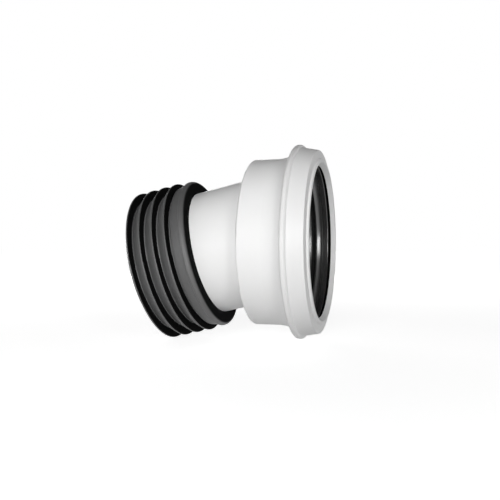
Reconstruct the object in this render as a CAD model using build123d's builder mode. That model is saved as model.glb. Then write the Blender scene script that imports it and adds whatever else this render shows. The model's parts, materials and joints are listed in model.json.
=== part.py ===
from build123d import *
from math import acos, asin, cos, degrees, radians, sin
import os

# A rigid pan connector: it joins the outlet of a toilet pan to a soil pipe.
# The origin is the centre of the socket's mouth. +X leaves the mouth, +Z is up,
# and the spigot points towards -X and a little down. All sizes are millimetres.

# White body: the bell, its flat shoulder, the flared rim and the tilted neck
wall = 3.0
bell_radius = 61.7
socket_depth = 50.15
shoulder_round = 1.2
shoulder_inside_round = 2.0
flare_length = 14.5
flare_radius = 27.0
rim_wall = 3.5
bend_angle = 13.0
bend_setback = 2.7
neck_radius = 46.4
neck_length = 33.7
neck_blend = 1.8
bore_edge_round = 1.2
spigot_chamfer = 1.0

# Snap bead on the rim, which holds the ring
snap_setback = 1.1
snap_ramp = 0.2
snap_height = 1.7
snap_width = 2.6
snap_lead = 1.7

# White ring over the rim: lead-in of the mouth, raised lip, front face, tapered band and bead
ring_length = 18.15
ring_clearance = 0.15
snap_clearance = 0.2
throat_step = 2.7
throat_length = 3.55
lead_in_width = 2.3
lead_in_round = 1.0
lip_land = 2.3
lip_height = 1.55
lip_side_width = 1.0
lip_round = 1.8
face_slope = 0.75
face_round = 0.8
corner_round = 0.4
band_front_wall = 1.25
band_back_wall = 3.35
bead_height = 2.1
bead_width = 3.6
bead_slope = 0.9
bead_round = 1.6

# Black rubber seal in the mouth: gripped flange, sleeve, short lip and main lip
flange_thickness = 3.8
seal_tail = 0.4
front_groove_depth = 3.0
front_groove_width = 2.3
band_recess = 1.0
band_length = 4.25
groove_gap = 0.8
short_lip_height = 4.6
short_lip_lean = 3.4
lip_thickness = 1.5
valley_width = 2.2
main_lip_radius = 48.0
main_lip_lean = 8.6
main_lip_land = 3.0
main_lip_thickness = 2.2
lip_tip_round = 0.5
short_lip_rise = 0.9
main_lip_round = 0.8
seal_edge_round = 0.3
band_edge_round = 0.6
seal_root_round = 0.5

# Black rubber sleeve on the spigot: collar, saw-tooth fins and nose
collar_wall = 10.0
collar_edge_width = 4.6
collar_edge_round = 3.4
collar_band_drop = 0.9
collar_band_taper = 1.5
collar_band_width = 7.0
collar_band_round = 0.4
collar_front_drop = 0.9
collar_front_round = 0.8
sleeve_wall = 4.6
fin_height = 6.5
fin_count = 4
fin_pitch = 9.8
first_fin_gap = 14.7
fin_land = 1.0
fin_back = 0.5
fin_root_width = 0.7
fin_root_round = 0.45
fin_crest_round = 0.4
nose_length = 4.5
nose_wall = 3.6
nose_round = 1.6
nose_wrap = 3.4
nose_lip_step = 0.6

# Places along the socket's axis, from the mouth
shoulder_x = -socket_depth
bend_x = shoulder_x - bend_setback
ring_back_x = -ring_length
flare_start_x = ring_back_x - flare_length
rim_front_x = -throat_length - flange_thickness
snap_x = ring_back_x + snap_setback

# Radii that follow from the bell
bell_bore = bell_radius - wall
neck_bore = neck_radius - wall
flare_angle = degrees(asin(flare_length / flare_radius))
rim_radius = bell_radius + flare_radius * (1 - cos(radians(flare_angle)))
seat_radius = rim_radius - rim_wall
inner_flare_radius = flare_radius + wall
inner_flare_angle = degrees(acos(1 - (seat_radius - bell_bore) / inner_flare_radius))
seat_back_x = flare_start_x + inner_flare_radius * sin(radians(inner_flare_angle))
ring_bore = rim_radius + ring_clearance
throat_radius = bell_bore - throat_step

# Places along the spigot's axis, from the bend
first_fin = neck_length + first_fin_gap
last_fin = first_fin + fin_pitch * (fin_count - 1)
sleeve_end = last_fin + nose_length
spigot_end = sleeve_end - nose_wrap
collar_radius = neck_radius + collar_wall
fin_root_radius = neck_radius + sleeve_wall
fin_radius = fin_root_radius + fin_height
nose_radius = neck_radius + nose_wall

spigot_direction = Vector(-cos(radians(bend_angle)), 0, -sin(radians(bend_angle)))
spigot_section = Plane(origin=(bend_x, 0, 0), x_dir=spigot_direction, z_dir=(0, 1, 0))
spigot_axis = Axis((bend_x, 0, 0), spigot_direction)
spigot_start = -(neck_radius * sin(radians(bend_angle)) + bend_setback + 2 * wall) / cos(radians(bend_angle))
spigot_root = Plane(origin=spigot_section.from_local_coords((spigot_start, 0, 0)), z_dir=spigot_direction)


def points_and_rounds(corners):
    """Splits the corners of a section, each (place along the axis, radius, rounding)."""
    points = [(along, radius) for along, radius, _ in corners]
    rounds = [rounding for _, _, rounding in corners]
    return points, rounds


def fin(crest):
    """Corners of one fin: a steep back towards the collar, a crest and a ramp towards the nose."""
    ramp_end = crest + fin_pitch - fin_land / 2 - fin_back - fin_root_width
    return [
        (crest - fin_land / 2 - fin_back, fin_root_radius, fin_root_round),
        (crest - fin_land / 2, fin_radius, fin_crest_round),
        (crest + fin_land / 2, fin_radius, fin_crest_round),
        (ramp_end, fin_root_radius, fin_root_round),
    ]


with BuildPart() as connector_body:
    # The bell is turned as a solid with its flare and the snap bead on its rim
    with BuildSketch(Plane.XZ):
        with BuildLine():
            back = Polyline(
                (rim_front_x, 0),
                (shoulder_x, 0),
                (shoulder_x, bell_radius),
                (flare_start_x, bell_radius),
            )
            flare = JernArc(back @ 1, (1, 0), flare_radius, flare_angle)
            Polyline(
                flare @ 1,
                (snap_x, rim_radius),
                (snap_x + snap_ramp, rim_radius + snap_height),
                (snap_x + snap_width, rim_radius + snap_height),
                (snap_x + snap_width + snap_lead, rim_radius),
                (rim_front_x, rim_radius),
                (rim_front_x, 0),
            )
        make_face()
    revolve(axis=Axis.X)
    fillet(connector_body.edges().group_by(Axis.X)[0], shoulder_round)

    # The neck leaves the shoulder at the bend angle and runs on as the spigot
    with BuildSketch(spigot_root):
        Circle(neck_radius)
    extrude(amount=spigot_end - spigot_start)
    fillet(connector_body.edges().filter_by(GeomType.ELLIPSE), neck_blend)
    chamfer(connector_body.edges().group_by(Axis.X)[0], spigot_chamfer)

    # The socket's inside follows the flare at one wall thickness up to the seal's seat
    with BuildSketch(Plane.XZ):
        with BuildLine():
            floor = FilletPolyline(
                (rim_front_x, 0),
                (shoulder_x + wall, 0),
                (shoulder_x + wall, bell_bore),
                (flare_start_x, bell_bore),
                radius=[0, shoulder_inside_round],
            )
            inner_flare = JernArc(floor @ 1, (1, 0), inner_flare_radius, inner_flare_angle)
            Polyline(inner_flare @ 1, (rim_front_x, seat_radius), (rim_front_x, 0))
        make_face()
    revolve(axis=Axis.X, mode=Mode.SUBTRACT)

    # The waterway goes on through the neck
    with BuildSketch(spigot_root):
        Circle(neck_bore)
    extrude(amount=spigot_end - spigot_start, mode=Mode.SUBTRACT)
    bore_edges = connector_body.edges().filter_by(GeomType.ELLIPSE)
    fillet(bore_edges, bore_edge_round)

with BuildPart() as retaining_ring:
    # The ring is turned round the rim, with an inner groove for the snap bead
    face_outer_radius = ring_bore + band_front_wall
    lead_in_radius = throat_radius + lead_in_width
    lip_radius = lead_in_radius + lip_land
    band_back_radius = ring_bore + band_back_wall
    bead_radius = band_back_radius + bead_height
    bead_front_x = ring_back_x + bead_width
    groove_bore = rim_radius + snap_height + snap_clearance
    ring_points, ring_rounds = points_and_rounds(
        [
            (-throat_length, throat_radius, 0),
            (0, lead_in_radius, lead_in_round),
            (0, lip_radius, lip_round),
            (-lip_height, lip_radius + lip_side_width, corner_round),
            (-lip_height - face_slope, face_outer_radius, face_round),
            (bead_front_x + bead_slope, band_back_radius, corner_round),
            (bead_front_x, bead_radius, bead_round),
            (ring_back_x, bead_radius, bead_round),
            (ring_back_x, ring_bore, 0),
            (snap_x - snap_clearance, ring_bore, 0),
            (snap_x - snap_clearance + snap_ramp, groove_bore, 0),
            (snap_x + snap_width + snap_clearance, groove_bore, 0),
            (snap_x + snap_width + snap_lead + snap_clearance, ring_bore, 0),
            (-throat_length, ring_bore, 0),
        ]
    )
    with BuildSketch(Plane.XZ):
        with BuildLine():
            FilletPolyline(*ring_points, radius=ring_rounds, close=True)
        make_face()
    revolve(axis=Axis.X)

with BuildPart() as socket_seal:
    # The flange lies between ring and rim, and the sleeve fills the seat behind it
    band_radius = throat_radius + band_recess
    band_front_x = -throat_length - front_groove_width
    valley_radius = band_radius + groove_gap
    seal_back_x = seat_back_x + seal_tail
    band_back_x = band_front_x - band_length
    short_root_x = band_back_x - groove_gap
    short_tip_x = short_root_x - short_lip_lean
    short_tip_radius = band_radius - short_lip_height
    valley_front_x = short_root_x - lip_thickness
    main_root_x = valley_front_x - valley_width
    land_front_x = main_root_x - main_lip_lean
    land_back_x = land_front_x - main_lip_land
    seal_points, seal_rounds = points_and_rounds(
        [
            (-throat_length, rim_radius, 0),
            (-throat_length, band_radius + front_groove_depth, 0),
            (band_front_x, band_radius + front_groove_depth, seal_root_round),
            (band_front_x, band_radius, band_edge_round),
            (band_back_x, band_radius, seal_edge_round),
            (band_back_x, valley_radius, 0),
            (short_root_x, valley_radius, 0),
            (short_root_x, band_radius, seal_edge_round),
            (short_tip_x, short_tip_radius, lip_tip_round),
            (short_tip_x - lip_thickness, short_tip_radius + short_lip_rise, lip_tip_round),
            (valley_front_x, valley_radius, seal_root_round),
            (main_root_x, valley_radius, seal_root_round),
            (land_front_x, main_lip_radius, main_lip_round),
            (land_back_x, main_lip_radius, lip_tip_round),
            (land_back_x, main_lip_radius + main_lip_thickness, lip_tip_round),
            (seal_back_x, seat_radius - main_lip_thickness, seal_root_round),
            (seal_back_x, seat_radius, 0),
            (rim_front_x, seat_radius, 0),
            (rim_front_x, rim_radius, 0),
        ]
    )
    with BuildSketch(Plane.XZ):
        with BuildLine():
            FilletPolyline(*seal_points, radius=seal_rounds, close=True)
        make_face()
    revolve(axis=Axis.X)

with BuildPart() as finned_sleeve:
    # The sleeve is turned round the tilted spigot and wraps over the spigot's end
    band_start = neck_length + collar_edge_width
    band_end = band_start + collar_band_width
    band_start_radius = collar_radius - collar_band_drop
    fins = [corner for k in range(fin_count) for corner in fin(first_fin + k * fin_pitch)]
    sleeve_points, sleeve_rounds = points_and_rounds(
        [
            (neck_length, neck_radius, 0),
            (neck_length, collar_radius, collar_edge_round),
            (band_start - collar_band_drop / 2, collar_radius, collar_band_round),
            (band_start, band_start_radius, collar_band_round),
            (band_end, band_start_radius - collar_band_taper, collar_front_round),
            (band_end + collar_front_drop, fin_root_radius, fin_root_round),
            *fins[:-1],
            (sleeve_end, nose_radius, nose_round),
            (sleeve_end, neck_bore + nose_lip_step, nose_lip_step),
            (spigot_end, neck_bore + nose_lip_step, 0),
            (spigot_end, neck_radius - spigot_chamfer, 0),
            (spigot_end - spigot_chamfer, neck_radius, 0),
        ]
    )
    with BuildSketch(spigot_section):
        with BuildLine():
            FilletPolyline(*sleeve_points, radius=sleeve_rounds, close=True)
        make_face()
    revolve(axis=spigot_axis)

os.makedirs("parts", exist_ok=True)
connector_body.part.label = "connector_body"
retaining_ring.part.label = "retaining_ring"
socket_seal.part.label = "socket_seal"
finned_sleeve.part.label = "finned_sleeve"
export_step(connector_body.part, "parts/connector_body.step")
export_step(retaining_ring.part, "parts/retaining_ring.step")
export_step(socket_seal.part, "parts/socket_seal.step")
export_step(finned_sleeve.part, "parts/finned_sleeve.step")
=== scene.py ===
import json
import math

import bpy
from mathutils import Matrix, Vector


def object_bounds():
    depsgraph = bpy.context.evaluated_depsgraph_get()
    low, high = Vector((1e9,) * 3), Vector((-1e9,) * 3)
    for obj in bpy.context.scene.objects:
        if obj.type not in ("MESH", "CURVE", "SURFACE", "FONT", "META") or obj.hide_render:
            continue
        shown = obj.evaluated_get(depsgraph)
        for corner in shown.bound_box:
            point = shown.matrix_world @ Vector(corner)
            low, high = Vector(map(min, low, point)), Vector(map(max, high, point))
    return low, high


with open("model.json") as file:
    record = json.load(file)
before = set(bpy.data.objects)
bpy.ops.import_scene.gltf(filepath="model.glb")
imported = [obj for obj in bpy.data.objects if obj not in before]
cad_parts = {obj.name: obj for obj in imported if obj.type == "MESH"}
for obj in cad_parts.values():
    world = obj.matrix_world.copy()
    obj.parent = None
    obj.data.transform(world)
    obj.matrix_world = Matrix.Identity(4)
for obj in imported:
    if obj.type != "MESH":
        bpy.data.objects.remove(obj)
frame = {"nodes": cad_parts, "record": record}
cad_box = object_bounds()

nodes = frame["nodes"]

# Camera
# It stands level with the connector's axis, half a metre off, and looks at the
# spigot side past the mouth, so that the far inner wall of the mouth just shows.
camera_data = bpy.data.cameras.new("camera")
camera_data.lens = 50
camera_data.sensor_width = 36
camera = bpy.data.objects.new("camera", camera_data)
camera.location = (0.08406, -0.50806, -0.00596)
camera.rotation_euler = (math.radians(90), 0, math.radians(15.469))
bpy.context.scene.collection.objects.link(camera)
bpy.context.scene.camera = camera


# Studio light
# A strong softbox stands behind the camera with a tall strip to its right, and weaker
# ones stand left, right and behind. The world is a white cove, dimmer overhead.
def softbox(name, place, aim, size, radiance):
    lamp_data = bpy.data.lights.new(name, "AREA")
    lamp_data.shape = "RECTANGLE"
    lamp_data.size, lamp_data.size_y = size
    lamp_data.energy = radiance * math.pi * size[0] * size[1]
    lamp = bpy.data.objects.new(name, lamp_data)
    lamp.location = place
    lamp.rotation_euler = (aim - lamp.location).to_track_quat("-Z", "Y").to_euler()
    bpy.context.scene.collection.objects.link(lamp)


# An input is linked to the socket it is given, or set to the plain value
def set_inputs(node, inputs):
    for name, value in inputs.items():
        if isinstance(value, bpy.types.NodeSocket):
            node.id_data.links.new(value, node.inputs[name])
        else:
            node.inputs[name].default_value = value


def add_node(tree, kind, inputs, **settings):
    node = tree.nodes.new(kind)
    for name, value in settings.items():
        setattr(node, name, value)
    set_inputs(node, inputs)
    return node


# 1 for what the camera sees, straight or by way of gloss and glass, and 0 for plain light
def seen_or_mirrored(tree, rays):
    seen = add_node(tree, "ShaderNodeMath", {
        0: rays.outputs["Is Camera Ray"],
        1: rays.outputs["Is Glossy Ray"],
    }, operation="MAXIMUM")
    mirrored = add_node(tree, "ShaderNodeMath", {
        0: seen.outputs[0],
        1: rays.outputs["Is Transmission Ray"],
    }, operation="MAXIMUM")
    return mirrored.outputs[0]


middle = (cad_box[0] + cad_box[1]) / 2
softbox("front_softbox", (0.08, -1.39, 0.08), middle, (0.6, 0.7), 15.0)
softbox("front_right_softbox", (0.75, -1.13, 0.05), middle, (0.3, 1.1), 6.5)
softbox("left_softbox", (-0.96, -1.07, 0.08), middle, (0.6, 0.7), 1.2)
softbox("right_softbox", (1.32, 0.12, 0.05), middle, (0.25, 0.25), 11.5)
softbox("back_softbox", (-0.77, 1.20, 0.12), middle, (0.9, 0.7), 7.0)

white_light = (1, 1, 1, 1)
room_fill = 0.02
# Sines of the angles above the ground where the cove begins to dim and where it ends
cove_bend = 0.1
cove_end = 0.55
overhead_white = 0.12
world = bpy.data.worlds.new("studio")
bpy.context.scene.world = world
world.use_nodes = True
tree = world.node_tree
tree.nodes.clear()
rays = tree.nodes.new("ShaderNodeLightPath")
direction = tree.nodes.new("ShaderNodeTexCoord")
height = add_node(tree, "ShaderNodeSeparateXYZ", {0: direction.outputs["Generated"]})
cove = add_node(tree, "ShaderNodeMapRange", {
    "Value": height.outputs["Z"],
    "From Min": cove_bend,
    "From Max": cove_end,
    "To Min": 1,
    "To Max": overhead_white,
})
whiteness = add_node(tree, "ShaderNodeMath", {
    0: rays.outputs["Is Camera Ray"],
    1: cove.outputs["Result"],
}, operation="MAXIMUM")
white = add_node(tree, "ShaderNodeBackground", {
    "Color": white_light,
    "Strength": whiteness.outputs[0],
})
fill = add_node(tree, "ShaderNodeBackground", {
    "Color": white_light,
    "Strength": room_fill,
})
pick = add_node(tree, "ShaderNodeMixShader", {
    "Fac": seen_or_mirrored(tree, rays),
    1: fill.outputs[0],
    2: white.outputs[0],
})
add_node(tree, "ShaderNodeOutputWorld", {"Surface": pick.outputs[0]})

# Floor
# A plain pale sheet just under the lowest fin. Its glow is seen by the camera and
# in reflections only, so it runs into the white behind and keeps the soft shadow.
floor_size = 40
floor_gap = 0.0002
paper_grey = (0.6, 0.6, 0.6, 1)
near_distance = 0.2
far_distance = 1.2
near_glow = 0.8
bpy.ops.object.select_all(action="DESELECT")
bpy.ops.mesh.primitive_plane_add(size=floor_size, location=(0, 0, cad_box[0].z - floor_gap))
bpy.ops.object.transform_apply(location=True, rotation=False, scale=False)
floor = bpy.context.object
floor.name = "floor"
paper = bpy.data.materials.new("white_paper")
paper.use_nodes = True
tree = paper.node_tree
tree.nodes.clear()
rays = tree.nodes.new("ShaderNodeLightPath")
place = tree.nodes.new("ShaderNodeTexCoord")
distance = add_node(tree, "ShaderNodeVectorMath", {0: place.outputs["Object"]}, operation="LENGTH")
glow = add_node(tree, "ShaderNodeMapRange", {
    "Value": distance.outputs["Value"],
    "From Min": near_distance,
    "From Max": far_distance,
    "To Min": near_glow,
    "To Max": 1,
})
strength = add_node(tree, "ShaderNodeMath", {
    0: seen_or_mirrored(tree, rays),
    1: glow.outputs["Result"],
}, operation="MULTIPLY")
emission = add_node(tree, "ShaderNodeEmission", {"Strength": strength.outputs[0]})
diffuse = add_node(tree, "ShaderNodeBsdfDiffuse", {"Color": paper_grey})
both = add_node(tree, "ShaderNodeAddShader", {
    0: diffuse.outputs[0],
    1: emission.outputs[0],
})
add_node(tree, "ShaderNodeOutputMaterial", {"Surface": both.outputs[0]})
floor.data.materials.append(paper)


# Connector body
# The wide socket, the tilted neck and the spigot are one injection moulding in white
# polypropylene. Its skin is satin, with very fine flow marks and a nearly even colour.
def two_tones(tree, factor, low, high):
    ramp = add_node(tree, "ShaderNodeValToRGB", {"Fac": factor})
    for stop, (position, colour) in zip(ramp.color_ramp.elements, (low, high)):
        stop.position = position
        stop.color = colour
    return ramp.outputs["Color"]


def moulded_grain(tree, place, scale, detail, strength):
    grain_height = 0.0002
    grain = add_node(tree, "ShaderNodeTexNoise", {
        "Vector": place.outputs["Object"],
        "Scale": scale,
        "Detail": detail,
    })
    bump = add_node(tree, "ShaderNodeBump", {
        "Height": grain.outputs["Fac"],
        "Strength": strength,
        "Distance": grain_height,
    })
    return bump.outputs["Normal"]


def moulded_white(name, tone):
    flow_mark_shade = 0.985
    flow_mark_blue = 0.98
    smoothest = 0.34
    roughest = 0.46
    material = bpy.data.materials.new(name)
    material.use_nodes = True
    tree = material.node_tree
    place = tree.nodes.new("ShaderNodeTexCoord")
    cloud = add_node(tree, "ShaderNodeTexNoise", {
        "Vector": place.outputs["Object"],
        "Scale": 28,
        "Detail": 4,
    })
    flow_mark = (tone * flow_mark_shade, tone * flow_mark_shade, tone * flow_mark_blue, 1)
    clear = (tone, tone, tone, 1)
    satin = add_node(tree, "ShaderNodeMapRange", {
        "Value": cloud.outputs["Fac"],
        "To Min": smoothest,
        "To Max": roughest,
    })
    set_inputs(tree.nodes["Principled BSDF"], {
        "Base Color": two_tones(tree, cloud.outputs["Fac"], low=(0.3, flow_mark), high=(0.7, clear)),
        "Roughness": satin.outputs["Result"],
        "Normal": moulded_grain(tree, place, scale=1400, detail=2, strength=0.05),
        "IOR": 1.49,
        "Specular IOR Level": 0.2,
    })
    return material


nodes["connector_body"].data.materials[0] = moulded_white("white_body_plastic", tone=0.84)

# Retaining ring
# A separate white moulding in the same plastic that snaps over the body's rim and
# holds the seal in the mouth. Its white is set a touch greyer than the body's as
# painted shade, to take back the front lamp's gloss on its band.
# Painted shade: the ring's tone sits below the body's to offset the lamp's gloss on it
nodes["retaining_ring"].data.materials[0] = moulded_white("white_ring_plastic", tone=0.78)


# Socket seal
# Black moulded rubber, gripped by its flange between the ring and the body's rim. Its
# band and lips are smooth and glossy, and the grooves between them are matt and get
# painted shade in near black.
def moulded_rubber(name, tone, roughness, gloss, paint_light_and_shade):
    # Painted shade: where the mask is 0 the rubber is near black, matt and dull
    painted_shade_black = (0.004, 0.004, 0.004, 1)
    shaded_face_roughness = 0.95
    shaded_face_gloss = 0.03
    bloom_gain = 1.2
    bloom_blue_gain = 1.22
    smoother = 0.05
    rougher = 0.06
    material = bpy.data.materials.new(name)
    material.use_nodes = True
    tree = material.node_tree
    place = tree.nodes.new("ShaderNodeTexCoord")
    light_and_shade_mask = paint_light_and_shade(tree, place)
    bloom = add_node(tree, "ShaderNodeTexNoise", {
        "Vector": place.outputs["Object"],
        "Scale": 45,
        "Detail": 5,
    })
    plain = (tone, tone, tone, 1)
    bloom_and_painted_light = (tone * bloom_gain, tone * bloom_gain, tone * bloom_blue_gain, 1)
    # The mask picks the painted shade black or the rubber's mottled tone, which on the sleeve also
    # carries painted light
    colour = add_node(tree, "ShaderNodeMix", {
        "Factor": light_and_shade_mask,
        "A": painted_shade_black,
        "B": two_tones(tree, bloom.outputs["Fac"], low=(0.35, plain), high=(0.75, bloom_and_painted_light)),
    }, data_type="RGBA")
    skin = add_node(tree, "ShaderNodeMapRange", {
        "Value": bloom.outputs["Fac"],
        "To Min": roughness - smoother,
        "To Max": roughness + rougher,
    })
    matt = add_node(tree, "ShaderNodeMix", {
        "Factor": light_and_shade_mask,
        "A": shaded_face_roughness,
        "B": skin.outputs["Result"],
    })
    sheen = add_node(tree, "ShaderNodeMath", {
        0: light_and_shade_mask,
        1: gloss,
        2: shaded_face_gloss,
    }, operation="MULTIPLY_ADD")
    set_inputs(tree.nodes["Principled BSDF"], {
        "Base Color": colour.outputs["Result"],
        "Roughness": matt.outputs["Result"],
        "Specular IOR Level": sheen.outputs[0],
        "Normal": moulded_grain(tree, place, scale=1100, detail=3, strength=0.12),
        "IOR": 1.6,
    })
    return material


# The grooves lie further out from the socket's axis than the band and the lips, and
# this mask gives them painted shade, near black, where shade falls in the recesses
def shade_seal_grooves(tree, place):
    band_radius = 0.0575
    groove_radius = 0.0582
    across = add_node(tree, "ShaderNodeVectorMath", {
        0: place.outputs["Object"],
        1: (0, 1, 1),
    }, operation="MULTIPLY")
    radius = add_node(tree, "ShaderNodeVectorMath", {0: across.outputs["Vector"]}, operation="LENGTH")
    band = add_node(tree, "ShaderNodeMapRange", {
        "Value": radius.outputs["Value"],
        "From Min": groove_radius,
        "From Max": band_radius,
    })
    return band.outputs["Result"]


nodes["socket_seal"].data.materials[0] = moulded_rubber(
    "seal_rubber", tone=0.02, roughness=0.18, gloss=0.9, paint_light_and_shade=shade_seal_grooves)


# Finned sleeve
# Black moulded rubber, stretched over the spigot and hooked round its end. The ramps of
# its fins and its band are grey and have a soft sheen. The grey is partly a mottled
# bloom and partly painted light, strongest on the ramps that lean towards the spigot's
# end, and the fins' backs and the collar's end face get painted shade in near black.
def paint_sleeve_light_and_shade(tree, place):
    # Sines of the angles by which faces lean towards the spigot's end
    fin_back = -0.92
    fin_edge = -0.7
    band_lean = 0.25
    ramp_lean = 0.6
    band_share = 0.7
    mounts = {mount["name"]: mount for mount in frame["record"]["mounts"]}
    lean = add_node(tree, "ShaderNodeVectorMath", {
        0: place.outputs["Normal"],
        1: mounts["soil_spigot"]["axis"],
    }, operation="DOT_PRODUCT")
    # Painted shade: faces leaning away from the spigot's end, the fins' backs and the collar's end
    # face, go near black
    back_shade = add_node(tree, "ShaderNodeMapRange", {
        "Value": lean.outputs["Value"],
        "From Min": fin_back,
        "From Max": fin_edge,
    })
    # Painted light: the ramps, leaning most towards the spigot's end, get the full grey and the band
    # only a share of it
    bloom_and_painted_light = add_node(tree, "ShaderNodeMapRange", {
        "Value": lean.outputs["Value"],
        "From Min": band_lean,
        "From Max": ramp_lean,
        "To Min": band_share,
    })
    light_and_shade_mask = add_node(tree, "ShaderNodeMath", {
        0: back_shade.outputs["Result"],
        1: bloom_and_painted_light.outputs["Result"],
    }, operation="MULTIPLY")
    return light_and_shade_mask.outputs[0]


nodes["finned_sleeve"].data.materials[0] = moulded_rubber(
    "sleeve_rubber", tone=0.095, roughness=0.48, gloss=0.97, paint_light_and_shade=paint_sleeve_light_and_shade)

# Colours as written
# The picture keeps the plain view transform.
bpy.context.scene.view_settings.view_transform = "Standard"
